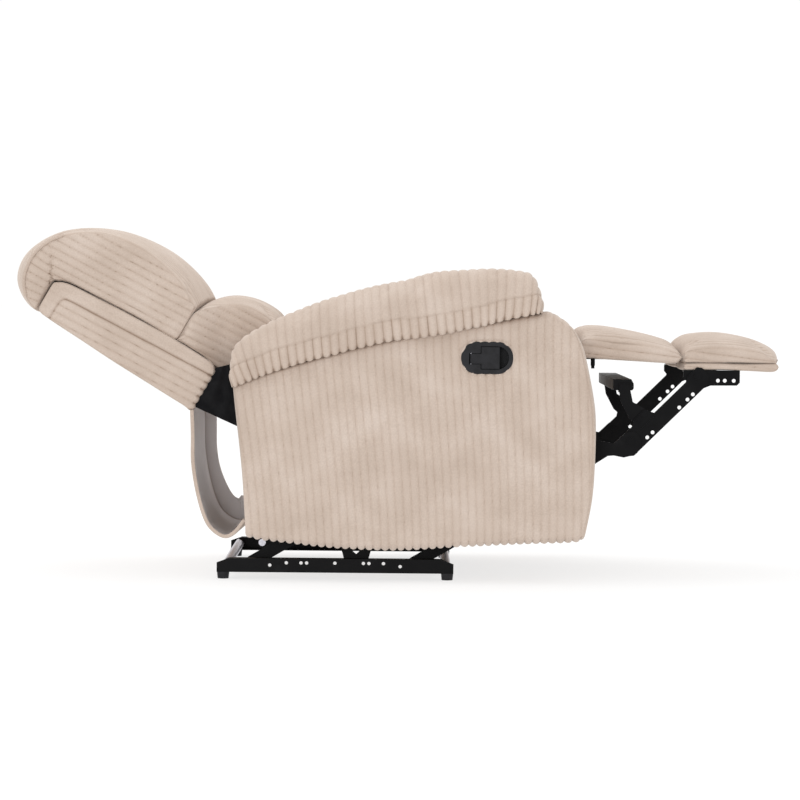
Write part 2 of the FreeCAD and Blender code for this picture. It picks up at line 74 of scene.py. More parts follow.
def soft_panel(name, place, aim, side, watts):
    """A square area light of that side, at place, turned to face the point aim."""
    data = bpy.data.lights.new(name, "AREA")
    data.size = side
    data.energy = watts
    panel = bpy.data.objects.new(name, data)
    panel.location = place
    panel.rotation_euler = (Vector(aim) - Vector(place)).to_track_quat("-Z", "Y").to_euler()
    stage_scene.collection.objects.link(panel)
    return panel


soft_panel("overhead_panel", place=(-0.6, 0.6, 3.4), aim=(0, 0, 0.4), side=2.4, watts=26)
soft_panel("front_panel", place=(-0.9, -5.2, 0.9), aim=(-0.3, 0, 0.35), side=1.2, watts=42)


def material_base(name, rough, metal=0.0, spec=0.5):
    """A new material with its nodes, links and surface shader; rough, metal and spec sit on the shader's sockets."""
    material = bpy.data.materials.new(name)
    material.use_nodes = True
    tree = material.node_tree
    shader = tree.nodes["Principled BSDF"]
    shader.inputs["Roughness"].default_value = rough
    shader.inputs["Metallic"].default_value = metal
    shader.inputs["Specular IOR Level"].default_value = spec
    return material, tree, shader


def place_noise(tree, scale, detail=3.0, stretch=(1, 1, 1)):
    """Noise over the piece's own coordinates in metres, stretched along its axes."""
    coordinates = tree.nodes.new("ShaderNodeTexCoord")
    mapping = tree.nodes.new("ShaderNodeMapping")
    mapping.inputs["Scale"].default_value = stretch
    noise = tree.nodes.new("ShaderNodeTexNoise")
    noise.inputs["Scale"].default_value = scale
    noise.inputs["Detail"].default_value = detail
    tree.links.new(coordinates.outputs["Object"], mapping.inputs["Vector"])
    tree.links.new(mapping.outputs["Vector"], noise.inputs["Vector"])
    return noise.outputs["Fac"]


def ramp(tree, source, stops):
    """A colour ramp over source; stops are (position, colour) pairs."""
    node = tree.nodes.new("ShaderNodeValToRGB")
    steps = node.color_ramp.elements
    steps[0].position, steps[0].color = stops[0][0], (*stops[0][1], 1)
    steps[1].position, steps[1].color = stops[-1][0], (*stops[-1][1], 1)
    for position, colour in stops[1:-1]:
        steps.new(position).color = (*colour, 1)
    tree.links.new(source, node.inputs["Fac"])
    return node.outputs["Color"]


def bump(tree, shader, source, height, strength=1.0, below=None):
    """Relief of that height in metres from source, on top of the relief below."""
    node = tree.nodes.new("ShaderNodeBump")
    node.inputs["Distance"].default_value = height
    node.inputs["Strength"].default_value = strength
    tree.links.new(source, node.inputs["Height"])
    if below is not None:
        tree.links.new(below, node.inputs["Normal"])
    tree.links.new(node.outputs["Normal"], shader.inputs["Normal"])
    return node.outputs["Normal"]


def mottle(tree, shader, source, stops):
    """The surface takes its base colour from source, through a ramp of those stops."""
    tree.links.new(ramp(tree, source, stops), shader.inputs["Base Color"])


FLOOR_HALF = 60.0
FLOOR_GLOW = 0.70
floor_paint, floor_tree, floor_shader = material_base("pale_floor", 0.9, spec=0.1)
mottle(floor_tree, floor_shader, place_noise(floor_tree, 1.5), [(0.3, (0.30, 0.30, 0.30)), (0.7, (0.32, 0.32, 0.32))])
floor_shader.inputs["Emission Color"].default_value = (1, 1, 1, 1)
floor_shader.inputs["Emission Strength"].default_value = FLOOR_GLOW
floor_mesh = bpy.data.meshes.new("studio_floor")
floor_mesh.from_pydata([(-FLOOR_HALF, -FLOOR_HALF, 0), (FLOOR_HALF, -FLOOR_HALF, 0), (FLOOR_HALF, FLOOR_HALF, 0),
                        (-FLOOR_HALF, FLOOR_HALF, 0)], [], [(0, 1, 2, 3)])
floor_mesh.materials.append(floor_paint)
studio_floor = bpy.data.objects.new("studio_floor", floor_mesh)
stage_scene.collection.objects.link(studio_floor)


def paint(material, *names):
    """The CAD nodes of these names take the material in every slot."""
    for name in names:
        mesh = nodes[name].data
        if not mesh.materials:
            mesh.materials.append(material)
        for number in range(len(mesh.materials)):
            mesh.materials[number] = material


# ---------------------------------------------------------------- base: rails, cross tubes, feet
# Two pressed steel rails with punched holes, stove-enamelled black, joined by zinc-plated round tubes that are
# swaged into their ends. Four moulded plastic feet are pushed on below.
enamel, enamel_tree, enamel_shader = material_base("black_enamel", 0.42, spec=0.09)
enamel_patch = place_noise(enamel_tree, 30, 5)
mottle(enamel_tree, enamel_shader, enamel_patch,
       [(0.3, (0.002, 0.002, 0.0025)), (0.62, (0.004, 0.004, 0.0045)), (0.8, (0.009, 0.009, 0.010))])
enamel_gloss = enamel_tree.nodes.new("ShaderNodeMapRange")
enamel_gloss.inputs["To Min"].default_value = 0.3
enamel_gloss.inputs["To Max"].default_value = 0.55
enamel_tree.links.new(enamel_patch, enamel_gloss.inputs["Value"])
enamel_tree.links.new(enamel_gloss.outputs["Result"], enamel_shader.inputs["Roughness"])
bump(enamel_tree, enamel_shader, place_noise(enamel_tree, 700, 2), 0.0002, 0.5)

zinc, zinc_tree, zinc_shader = material_base("zinc_plate", 0.35, 1.0)
mottle(zinc_tree, zinc_shader, place_noise(zinc_tree, 120, 4),
       [(0.3, (0.50, 0.50, 0.55)), (0.7, (0.72, 0.71, 0.77))])
bump(zinc_tree, zinc_shader, place_noise(zinc_tree, 900, 2, (0.2, 1, 1)), 0.0001, 0.4)

moulded, moulded_tree, moulded_shader = material_base("moulded_plastic", 0.5, spec=0.16)
mottle(moulded_tree, moulded_shader, place_noise(moulded_tree, 60, 4),
       [(0.3, (0.012, 0.012, 0.0135)), (0.7, (0.021, 0.021, 0.024))])
bump(moulded_tree, moulded_shader, place_noise(moulded_tree, 2600, 2), 0.00025, 0.6)

paint(enamel, "base_rail_right", "base_rail_left", "base_stops", "rear_swing_links", "front_swing_links",
      "side_plate_right", "side_plate_left", "arm_spacers", "pad_hinge_arms", "back_bracket_right",
      "back_bracket_left", "board_ties", "foot_bracket_right", "foot_bracket_left", "pad_hinge_leaves", "pad_studs",
      "bell_crank_right", "bell_crank_left", "drive_tube", "lift_link_right", "lift_link_left", "support_batten",
      "batten_bracket_right", "batten_bracket_left", "knee_pivots", "foot_pivots", "batten_rivets")
paint(zinc, "base_tube_front", "base_tube_rear", "base_pivots", "carriage_pivots", "seat_bolts", "handle_pin",
      "back_bolts")
paint(moulded, "base_feet", "handle_cup", "handle_lever")

# ---------------------------------------------------------------- seat and back frames
# Sawn softwood rails and a plywood back panel, screwed and stapled, bare because the covers hide them. The seat
# springs are black oiled sinuous wire.
bare_board, board_tree, board_shader = material_base("bare_board", 0.75)
board_grain = place_noise(board_tree, 14, 6, (0.6, 6, 6))
mottle(board_tree, board_shader, board_grain,
       [(0.25, (0.36, 0.24, 0.13)), (0.5, (0.55, 0.40, 0.24)), (0.8, (0.66, 0.51, 0.33))])
bump(board_tree, board_shader, board_grain, 0.0006, 0.5)
wire, wire_tree, wire_shader = material_base("spring_wire", 0.4, 1.0)
mottle(wire_tree, wire_shader, place_noise(wire_tree, 80, 3),
       [(0.3, (0.07, 0.07, 0.07)), (0.7, (0.16, 0.155, 0.15))])
paint(bare_board, "seat_rails_side", "seat_rail_front", "seat_rail_rear", "arm_frame_right", "arm_frame_left",
      "back_frame")
paint(wire, "seat_springs")

# ---------------------------------------------------------------- seat cushion
# A foam block under wide-rib corduroy, ribs running from back to front and over the front lip. The cover is sewn
# as a box with a seam round each side, and the foam swells it between the seams.
# Lengths named from here on are in millimetres, and are multiplied by MM where they are used; RIB, a rib's width,
# is already in metres. CREST shapes a rib's crest, MID_RIB is the share of its height that lies at the cloth's own
# surface, and ACROSS_RIBS is the mesh's step across the ribs.
MM = 0.001
RIB = 16.5 * MM
CREST = 0.55
MID_RIB = 0.6
ACROSS_RIBS = 2.1
WELDS_PER_METRE = 2e4
corduroy, cord_tree, cord_shader = material_base("wide_rib_corduroy", 0.92, spec=0.15)
cord_shader.inputs["Sheen Weight"].default_value = 0.35
cord_shader.inputs["Sheen Roughness"].default_value = 0.45
cord_shader.inputs["Sheen Tint"].default_value = (1.0, 0.94, 0.88, 1)
pile = ramp(cord_tree, place_noise(cord_tree, 11, 4),
            [(0.30, (0.505, 0.413, 0.348)), (0.50, (0.552, 0.457, 0.390)), (0.72, (0.604, 0.512, 0.447))])


def groove_depth(tree):
    """The groove value kept with the cover's points: 0 on a crest, 1 in a seam."""
    node = tree.nodes.new("ShaderNodeAttribute")
    node.attribute_name = "groove"
    return node.outputs["Fac"]


# Painted shade: the groove value darkens the cloth's colour in the rib valleys, along seams and creases and on covered
# undersides, where shade falls.
groove_painted_shade = ramp(cord_tree, groove_depth(cord_tree),
                    [(0.0, (1.0, 1.0, 1.0)), (0.55, (0.90, 0.875, 0.855)), (1.0, (0.55, 0.48, 0.43))])
fibre = place_noise(cord_tree, 420, 4)
fibre_shade = ramp(cord_tree, fibre, [(0.25, (0.88, 0.87, 0.86)), (0.75, (1.06, 1.06, 1.06))])


def times(tree, first, second):
    """Two colours multiplied."""
    node = tree.nodes.new("ShaderNodeMix")
    node.data_type = "RGBA"
    node.blend_type = "MULTIPLY"
    node.inputs["Factor"].default_value = 1.0
    tree.links.new(first, node.inputs["A"])
    tree.links.new(second, node.inputs["B"])
    return node.outputs["Result"]


cord_colour = times(cord_tree, times(cord_tree, pile, groove_painted_shade), fibre_shade)
cord_tree.links.new(cord_colour, cord_shader.inputs["Base Color"])
cord_relief = bump(cord_tree, cord_shader, fibre, 0.0012, 0.5)
bump(cord_tree, cord_shader, place_noise(cord_tree, 60, 3), 0.003, 0.35, cord_relief)


def through(a, b, c, d, f):
    """The Catmull-Rom curve from b to c at share f of the way, with a before and d behind them."""
    return 0.5 * (2 * b + (c - a) * f + (2 * a - 5 * b + 4 * c - d) * f * f + (3 * b - a - 3 * c + d) * f ** 3)


def smooth_line(corners, count):
    """Even points along the smooth line through the corners: a Catmull-Rom curve, worked out densely and then spaced
    again by its own length."""
    p = np.array(corners, float) * MM
    held = np.vstack([2 * p[0] - p[1], p, 2 * p[-1] - p[-2]])
    t = np.linspace(0, len(p) - 1, 60 * len(p))
    i = np.minimum(t.astype(int), len(p) - 2)
    f = (t - i)[:, None]
    dense = through(held[i], held[i + 1], held[i + 2], held[i + 3], f)
    run = np.r_[0, np.cumsum(np.linalg.norm(np.diff(dense, axis=0), axis=1))]
    even = np.linspace(0, run[-1], count)
    return np.stack([np.interp(even, run, dense[:, k]) for k in range(p.shape[1])], 1)


def resample(grid, axis, places):
    """The grid read at fractional rows along one axis, by Catmull-Rom between the four nearest rows."""
    g = np.moveaxis(grid, axis, 0)
    last = len(g) - 1
    t = np.asarray(places, float) * last
    i = np.minimum(t.astype(int), last - 1)
    f = (t - i).reshape((-1,) + (1,) * (g.ndim - 1))
    new = through(g[np.maximum(i - 1, 0)], g[i], g[i + 1], g[np.minimum(i + 2, last)], f)
    return np.moveaxis(new, 0, axis)


def directions(path):
    """The unit direction of a line at each of its points."""
    way = np.gradient(path, axis=0)
    return way / np.linalg.norm(way, axis=1, keepdims=True)


def grid_cells(number):
    """The four corner numbers of each cell of a grid of point numbers."""
    return np.stack([number[:-1, :-1], number[1:, :-1], number[1:, 1:], number[:-1, 1:]], -1).reshape(-1, 4)


def stitch(patches):
    """Grids joined into one mesh: points at the same place, to a twentieth of a millimetre, become one, each grid cell
    becomes a face, and a cell that has shrunk at a pole becomes a triangle or is dropped. Gives points, faces, which
    grid point each mesh point came from, and where each grid point went."""
    flat = np.concatenate([g.reshape(-1, 3) for g in patches])
    _, first, place = np.unique(np.round(flat * WELDS_PER_METRE).astype(np.int64), axis=0, return_index=True,
                                return_inverse=True)
    place = place.ravel()
    cells = []
    start = 0
    for g in patches:
        rows, columns = g.shape[:2]
        number = start + np.arange(rows * columns).reshape(rows, columns)
        cells.append(grid_cells(number))
        start += rows * columns
    quads = place[np.concatenate(cells)]
    same = quads == np.roll(quads, -1, axis=1)
    faces = quads[same.sum(1) == 0].tolist()
    ones = same.sum(1) == 1
    for k in range(4):
        short = quads[ones & same[:, k]]
        faces += np.delete(short, k, axis=1).tolist()
    return flat[first], faces, first, place


def plain_mesh(name, points, faces):
    """A mesh object from points and faces with all faces turned outwards."""
    mesh = bpy.data.meshes.new(name)
    mesh.from_pydata(points.tolist(), [], faces)
    work = bmesh.new()
    work.from_mesh(mesh)
    bmesh.ops.recalc_face_normals(work, faces=work.faces)
    work.to_mesh(mesh)
    work.free()
    piece = bpy.data.objects.new(name, mesh)
    stage_scene.collection.objects.link(piece)
    return piece


def read_threes(items, field):
    """A three-part field of a mesh's points or normals as an array."""
    values = np.zeros(len(items) * 3, np.float32)
    items.foreach_get(field, values)
    return values.reshape(-1, 3).astype(float)


def sew(name, patches, lifts, grooves):
    """One smooth closed piece of corduroy from grids. Each point then moves out along its normal by its lift, and its
    groove, from 0 on a crest to 1 in a seam, is kept to paint shade into the colour."""
    points, faces, first, _ = stitch(patches)
    piece = plain_mesh(name, points, faces)
    mesh = piece.data
    lift = np.concatenate([v.ravel() for v in lifts])[first]
    groove = np.concatenate([v.ravel() for v in grooves])[first]
    moved = read_threes(mesh.vertices, "co") + read_threes(mesh.vertex_normals, "vector") * lift[:, None]
    mesh.vertices.foreach_set("co", moved.astype(np.float32).ravel())
    mesh.attributes.new("groove", "FLOAT", "POINT").data.foreach_set("value", groove.astype(np.float32))
    mesh.polygons.foreach_set("use_smooth", np.ones(len(mesh.polygons), bool))
    mesh.update()
    mesh.materials.append(corduroy)
    return piece


def inflate(name, patches, most, pressure=4.0, frames=20):
    """The grids after their cover is blown up: cloth of that shape, with no gravity, is let out by inner pressure for
    some frames. The second grid, which lies on something or is sewn down, is held, and no point moves further than
    most."""
    points, faces, _, place = stitch(patches)
    cover = plain_mesh(name + "_cover", points, faces)
    sizes = [g.shape for g in patches]
    cuts = np.cumsum([rows * columns for rows, columns, _ in sizes])
    sewn = cover.vertex_groups.new(name="sewn")
    sewn.add(np.unique(place[cuts[0]:cuts[1]]).tolist(), 1.0, "ADD")
    cloth = cover.modifiers.new("cover", "CLOTH")
    cloth.settings.vertex_group_mass = "sewn"
    cloth.settings.use_pressure = True
    cloth.settings.uniform_pressure_force = pressure
    cloth.settings.quality = 4
    cloth.settings.mass = 0.3
    cloth.settings.effector_weights.gravity = 0
    cloth.collision_settings.use_collision = False
    cloth.point_cache.frame_start = 1
    cloth.point_cache.frame_end = frames
    for number in range(1, frames + 1):
        stage_scene.frame_set(number)
    blown = read_threes(cover.evaluated_get(bpy.context.evaluated_depsgraph_get()).data.vertices, "co")
    stage_scene.frame_set(1)
    bpy.data.objects.remove(cover)
    move = blown - points
    far = np.linalg.norm(move, axis=1, keepdims=True)
    points = points + move * np.minimum(1, most / np.maximum(far, 1e-9))
    return [part.reshape(size) for part, size in zip(np.split(points[place], cuts[:-1]), sizes)]


def rest_on(patches, planes):
    """Points beyond a plane are pressed back onto it. A plane is (nx, ny, nz, distance in mm), and the piece stays on
    the side the normal points to."""
    for nx, ny, nz, distance in planes:
        normal = np.array([nx, ny, nz], float)
        size = np.linalg.norm(normal)
        normal /= size
        for g in patches:
            depth = g @ normal - distance * MM / size
            g -= np.minimum(depth, 0)[..., None] * normal
    return patches


def between(room):
    """The two upright planes that keep a form within that distance in mm to either side of the middle."""
    return [(0, 1, 0, -room), (0, -1, 0, -room)]


def wale(run):
    """Height of a corduroy rib across its width: a half-round crest with a narrow groove, from 0 in the groove to 1
    on top."""
    return np.abs(np.sin(np.pi * run / RIB)) ** CREST


def ripple(grid, size, seed):
    """Slow unevenness of a hand-filled cover, -1 to 1: the mean of some plane waves of about that size, whose ways
    and starts are turned by the seed."""
    waves = 5
    total = 0
    for k in range(waves):
        angle = seed * 1.7 + k * 2.4
        way = np.array([math.cos(angle), math.sin(angle * 1.3), math.sin(angle)])
        length = size * (0.7 + 0.18 * k)
        total = total + np.sin(grid @ way * (6.28 / length) + seed + k * 1.9)
    return total / waves


def loaf(upper, lower, half, steps, side_upper=None, dome=6.0):
    """A long form across the chair: the upper and lower lines, both from its rear tip to its front tip, are carried
    from one side to the other. Towards the sides the upper line passes into side_upper, and the lower line's tips go
    with it. Each side face spans the two lines and domes out, by dome in mm. Gives the upper, lower, right and left
    grids, with steps points along, across and up the sides."""
    side_turn, tip_reach = 3.2, 6
    along, across, deep = steps
    top, under = smooth_line(upper, along), smooth_line(lower, along)
    rim = smooth_line(side_upper, along) if side_upper else top
    share = np.linspace(0, 1, along)[:, None]
    rim_under = under + share ** tip_reach * (rim[-1] - under[-1]) + (1 - share) ** tip_reach * (rim[0] - under[0])
    y = np.linspace(-half, half, across) * MM
    outward = (np.abs(y / (half * MM)) ** side_turn)[None, :, None]
    grids = []
    for line, edge in ((top, rim), (under, rim_under)):
        flat = line[:, None] + (edge - line)[:, None] * outward
        grids.append(np.stack([flat[..., 0], np.broadcast_to(y, flat.shape[:2]), flat[..., 1]], -1))
    w = np.linspace(-1, 1, deep)
    bulge = (1 - w[None, :] ** 2) * np.sin(np.pi * share) ** 0.5 * dome * MM
    face = rim_under[:, None] + (rim - rim_under)[:, None] * ((w + 1) / 2)[None, :, None]
    for side in (-1, 1):
        grids.append(np.stack([face[..., 0], side * (half * MM + bulge), face[..., 1]], -1))
    return grids


def finer(grids, along, across, deep):
    """The four grids of a loaf read at the given shares along each of their directions."""
    return [resample(resample(grid, 0, along), 1, across if k < 2 else deep) for k, grid in enumerate(grids)]


def cover_loaf(name, grids, half, height, side_run, side_crease=None, top_height=None, open_end=None, plain=None):
    """The corduroy cover over a loaf's grids: ribs run along it on top and below, counted across the chair, and on
    the side faces they follow side_run. Ribs fade out at the seam between them, but where open_end is 1 the side's
    ribs are turned over the edge at full height, which scallops it. Where plain is 1 the ribs are pressed nearly
    flat. The heights are in mm."""
    seam_fade, seam_width, turned_height, pressed = 7 * MM, 3.0 * MM, 2.8, 0.7
    lifts, grooves = [], []
    for k, grid in enumerate(grids):
        if k < 2:
            run = grid[..., 1] + RIB / 2
            edge = half * MM - np.abs(grid[..., 1])
        else:
            run = side_run(grid)
            w = np.linspace(0, 1, grid.shape[1])
            edge = np.minimum(w, 1 - w)[None, :] * np.linalg.norm(grid[:, -1] - grid[:, 0], axis=1)[:, None]
        rib = wale(run)
        fade = np.clip(edge / seam_fade, 0, 1)
        seam = np.exp(-(edge / seam_width) ** 2)
        if open_end:
            turned = open_end(grid)
            rib = np.where(turned > 0.5, wale(side_run(grid)), rib)
            fade, seam = np.maximum(fade, turned_height * turned), seam * (1 - turned)
        if plain:
            fade = fade * (1 - pressed * plain(grid))
        crease = side_crease(grid) if side_crease and k > 1 else 0
        tall = top_height if top_height is not None and k < 2 else height
        uneven = ripple(grid, 0.16, k + len(name)) * 1.4
        lifts.append(((rib - MID_RIB) * tall * fade + uneven - 1.6 * seam - 4.0 * crease) * MM)
        # The groove is painted shade: darker in the rib valleys, along the seams and in the creases.
        grooves.append(np.clip((1 - rib) ** 1.5 * fade + 0.55 * seam + 0.9 * crease, 0, 1))
    return sew(name, grids, lifts, grooves)


def shares(length, step, fine=None):
    """Places from 0 to 1 along that length, in even steps of that size, both in mm; fine is (to_share, step) for a
    denser start."""
    if fine is None:
        return np.linspace(0, 1, max(int(length / step), 2) + 1)
    share, small = fine
    head = np.linspace(0, share, int(length * share / small) + 1)
    return np.r_[head, np.linspace(share, 1, int(length * (1 - share) / step) + 1)[1:]]


SEAT_TOP = [(-300, 346), (-294, 362), (-160, 388), (40, 438), (200, 478), (310, 504), (352, 516), (370, 515),
            (376, 504)]
SEAT_UNDER = [(-300, 346), (-293, 332), (-160, 366), (40, 385), (200, 399), (316, 418), (336, 468), (366, 484),
              (376, 504)]
SEAT_HALF = 247
SEAT_SWELL = 16
SEAT_ROOM = 252
SEAT_NOSE = 380
SEAT_RISE, SEAT_RUN = 93, 638
SEAT_REAR = (-300, 322.5)
SEAT_BASE = (-SEAT_RISE, 0, SEAT_RUN, SEAT_REAR[1] * SEAT_RUN - SEAT_REAR[0] * SEAT_RISE)


def seat_run(grid):
    """Height above the seat's slope, so that the ribs on the side faces run along it."""
    return grid[..., 2] - 0.18 * grid[..., 0]


seat = loaf(SEAT_TOP, SEAT_UNDER, SEAT_HALF, (56, 42, 10))
seat = inflate("seat", seat, SEAT_SWELL * MM)
seat = rest_on(seat, between(SEAT_ROOM) + [SEAT_BASE, (-1, 0, 0, -SEAT_NOSE)])
seat = finer(seat, shares(740, 8), shares(500, ACROSS_RIBS), shares(70, 3))
seat_cushion = cover_loaf("seat_cushion_cover", seat, SEAT_HALF, 2.4, seat_run)
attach(seat_cushion, "carriage")
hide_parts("seat_cushion")

# ---------------------------------------------------------------- back shell
# The outside of the back: plywood on battens with thin wadding, covered in the same corduroy with the ribs running
# from the head to the seat. A plain border band is sewn round the head end and the upper edge, mitred at the corner.
SHELL_TOP = [(-741, 558), (-738, 566), (-713, 609), (-703, 613), (-687, 612), (-655, 599), (-532, 537), (-452, 494),
             (-401, 462), (-380, 444), (-378, 424)]
SHELL_UNDER = [(-741, 558), (-736, 549), (-714, 533), (-650, 492), (-560, 434), (-446, 365), (-424, 351), (-402, 386),
               (-378, 424)]
SHELL_HALF = 298
SHELL_WAY = np.array([0.8874, 0, -0.461])
SHELL_UP = np.array([0.461, 0, 0.8874])
END_IN = np.array([0.862, 0, -0.507])
BAND_EDGE = np.array([-655, 0, 599]) * MM
BAND_END = np.array([-711, 0, 611]) * MM
BORDER = 30
MITRE = 7
SHELL_FOOT = -545


def shell_run(grid):
    """Distance square to the back's length, so that ribs lie along it."""
    return grid @ SHELL_UP


def border_depth(grid):
    """Distance in mm in from the upper edge or the head end, whichever is nearer, rounded where the two are alike."""
    from_top = (BAND_EDGE - grid) @ SHELL_UP / MM
    from_end = (grid - BAND_END) @ END_IN / MM
    return -MITRE * np.log(np.exp(-from_top / MITRE) + np.exp(-from_end / MITRE))


def border_line(grid):
    """How deep the stitched line that sets off the border band is drawn in: most at the border's inner edge."""
    return 0.8 * np.exp(-((border_depth(grid) - BORDER) / 2.0) ** 2)


def border_band(grid):
    """1 on the border band, where the ribs are pressed flat, and 0 inside it."""
    return 1 / (1 + np.exp(border_depth(grid) - BORDER))


def shell_foot(grid):
    """1 at the lower end of the shell, where the ribs are turned over the edge."""
    return np.clip((grid @ SHELL_WAY / MM - SHELL_FOOT) / 4, 0, 1)


shell = loaf(SHELL_TOP, SHELL_UNDER, SHELL_HALF, (90, 60, 14), dome=2.0)
shell = finer(shell, shares(430, 4), shares(600, ACROSS_RIBS), shares(100, 2.2))
back_shell = cover_loaf("back_shell_cover", shell, SHELL_HALF, 1.9, shell_run, border_line, open_end=shell_foot,
                        plain=border_band)
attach(back_shell, "back")
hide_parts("back_shell")

# ---------------------------------------------------------------- head pillow
# A fat stuffed roll over the top of the back, wrapped round its end. Its side faces are boxed in, with the ribs along
# the back; behind a gathered vertical seam they fan out to the end, which is finished with a piped edge.
HEAD_TOP = [(-752, 550), (-772, 562), (-797, 588), (-810, 620), (-803, 656), (-783, 684), (-745, 706), (-692, 720),
            (-640, 722), (-590, 718), (-538, 700), (-504, 684), (-471, 662), (-438, 634), (-412, 606), (-400, 582)]
HEAD_SIDE = [(-748, 556), (-759, 567), (-770, 588), (-773, 620), (-764, 652), (-748, 677), (-723, 698), (-690, 712),
             (-641, 719), (-596, 715), (-546, 696), (-514, 677), (-482, 652), (-456, 626), (-434, 598), (-417, 565)]
HEAD_UNDER = [(-752, 550), (-747, 557), (-744, 563), (-716, 612), (-704, 615), (-687, 614), (-655, 601), (-532, 539),
              (-470, 505), (-456, 500), (-446, 507), (-427, 538), (-400, 582)]
HEAD_HALF = 290
HEAD_SWELL = 10
HEAD_ROOM = 301
HEAD_END = -829
HEAD_CROWN = 736
HEAD_SEAM = -716
SEAM_FOOT = 585
SEAM_TOP = 690
FAN_CENTRE = (-400, 440)
FAN_RADIUS = 400


def head_run(grid):
    """Ribs along the back in front of the gathered seam; behind it the angle about a point in the pillow, so that they
    fan out towards the end."""
    ahead = grid @ SHELL_UP
    angle = np.arctan2(grid[..., 2] - FAN_CENTRE[1] * MM, FAN_CENTRE[0] * MM - grid[..., 0])
    return np.where(grid[..., 0] > HEAD_SEAM * MM, ahead, angle * FAN_RADIUS * MM)


def head_crease(grid):
    """The gathered seam: a thin uneven upright crease near the head end, from the shell's corner to the top."""
    up = grid[..., 2] / MM
    waver = 2.5 * np.sin(up * 0.32) + 1.5 * np.sin(up * 0.9)
    near = np.exp(-((grid[..., 0] / MM - HEAD_SEAM + waver) / 2.4) ** 2)
    return 0.8 * near * np.clip((up - SEAM_FOOT) / 20, 0, 1) * np.clip((SEAM_TOP - up) / 50, 0, 1)


head = loaf(HEAD_TOP, HEAD_UNDER, HEAD_HALF, (64, 48, 12), HEAD_SIDE, 7)
head = inflate("head", head, HEAD_SWELL * MM)
head = rest_on(head, between(HEAD_ROOM) + [(1, 0, 0, HEAD_END), (0, 0, -1, -HEAD_CROWN)])
head = finer(head, shares(720, 6, (0.42, 3.2)), shares(600, ACROSS_RIBS), shares(140, 2.8))
head_pillow = cover_loaf("head_pillow_cover", head, HEAD_HALF, 2.2, head_run, head_crease)
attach(head_pillow, "back")
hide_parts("head_pillow")


def piping(name, path, radius, around=10):
    """A thin cord sewn along an edge: a circle carried along the path's points, square to it, with both ends drawn
    to a point."""
    way = directions(path)
    side = np.cross(way, [0, 1.0, 0])
    side /= np.maximum(np.linalg.norm(side, axis=1, keepdims=True), 1e-9)
    up = np.cross(side, way)
    angle = np.linspace(0, 2 * np.pi, around + 1)
    size = radius * np.r_[0, np.ones(len(path) - 2), 0]
    ring = np.cos(angle)[None, :, None] * side[:, None] + np.sin(angle)[None, :, None] * up[:, None]
    grid = path[:, None] + ring * size[:, None, None]
    grid[:, -1] = grid[:, 0]
    return sew(name, [grid], [np.zeros(grid.shape[:2])], [np.full(grid.shape[:2], 0.25)])


PIPING_RADIUS = 3.4
PIPING_OUT = 1.5
PIPING_START = 14
PIPING_END = 0.52
for column, side, word in ((0, -1, "right"), (-1, 1, "left")):
    edge = head[0][PIPING_START:int(len(head[0]) * PIPING_END), column].copy()
    edge[:, 1] += side * PIPING_OUT * MM
    edge += SHELL_UP * 0.5 * MM
    welt = piping("head_piping_" + word, edge, PIPING_RADIUS * MM)
    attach(welt, "back")

# ---------------------------------------------------------------- lumbar pillow
# The lower back cushion: a second stuffed roll between the arms, boxed at the sides and flared at the rear, sewn to
# the foot of the head pillow so that a sharp valley is left between the two.
LUMBAR_TOP = [(-455, 496), (-441, 516), (-412, 562), (-390, 580), (-352, 586), (-318, 580), (-287, 564), (-246, 544),
              (-250, 522)]
LUMBAR_SIDE = [(-455, 496), (-444, 514), (-421, 551), (-403, 561), (-372, 568), (-341, 571), (-304, 565), (-262, 541),
               (-250, 522)]
LUMBAR_UNDER = [(-455, 496), (-440, 488), (-401, 463), (-376, 442), (-352, 437), (-313, 471), (-279, 503),
                (-250, 522)]
LUMBAR_HALF = 245
LUMBAR_SWELL = 9
LUMBAR_ROOM = 252
LUMBAR_CROWN = 594
FLARE_FROM = -350
FLARE_RUN = 85
FLARE = 0.18
lumbar = loaf(LUMBAR_TOP, LUMBAR_UNDER, LUMBAR_HALF, (40, 40, 10), LUMBAR_SIDE, 4)
lumbar = inflate("lumbar", lumbar, LUMBAR_SWELL * MM)
lumbar = rest_on(lumbar, between(LUMBAR_ROOM) + [(0, 0, -1, -LUMBAR_CROWN)])
for grid in lumbar:
    flare = np.clip((FLARE_FROM - grid[..., 0] / MM) / FLARE_RUN, 0, 1)
    grid[..., 1] *= 1 + FLARE * flare ** 2 * (3 - 2 * flare)
lumbar = finer(lumbar, shares(290, 4), shares(500, ACROSS_RIBS), shares(100, 2.8))
lumbar_pillow = cover_loaf("lumbar_pillow_cover", lumbar, LUMBAR_HALF, 2.2, shell_run)
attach(lumbar_pillow, "back")
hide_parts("lumbar_pillow")

# ---------------------------------------------------------------- arm boxes
# Each arm is a board box, thinly padded and covered in one piece of corduroy with upright ribs. The cloth is turned
# under the lower edge, where the rib ends show as scallops, and a narrow plain strip finishes the curved front.
PANEL_TOP = [(-337, 407), (-266, 436), (-194, 459), (-93, 488), (10, 512), (110, 532), (214, 548), (301, 562),
             (340, 548), (366, 526)]
PANEL_UNDER = [(-303, 110), (-296, 92), (-200, 79), (-110, 71), (-19, 67), (60, 70), (134, 76), (286, 84), (378, 89),
               (391, 102)]
PANEL_REAR = [(-303, 110), (-311, 180), (-322, 280), (-337, 407)]
PANEL_FRONT = [(391, 102), (407, 177), (412, 240), (413, 320), (410, 370), (399, 433), (386, 487), (366, 526)]
PANEL_Y = (262, 368)
PANEL_LENGTH = 720
PANEL_HEIGHT = 440
PANEL_ROUND = 17
ROUND_SHAPE = 2.6
FRONT_STRIP = 13
SCALLOP = 5.5
PLATE_MIDDLE = (186.4, 466.4)
PLATE_STRAIGHT = 20.5
PLATE_RADIUS = 33.0
POCKET = 32
BRIM = 7.0


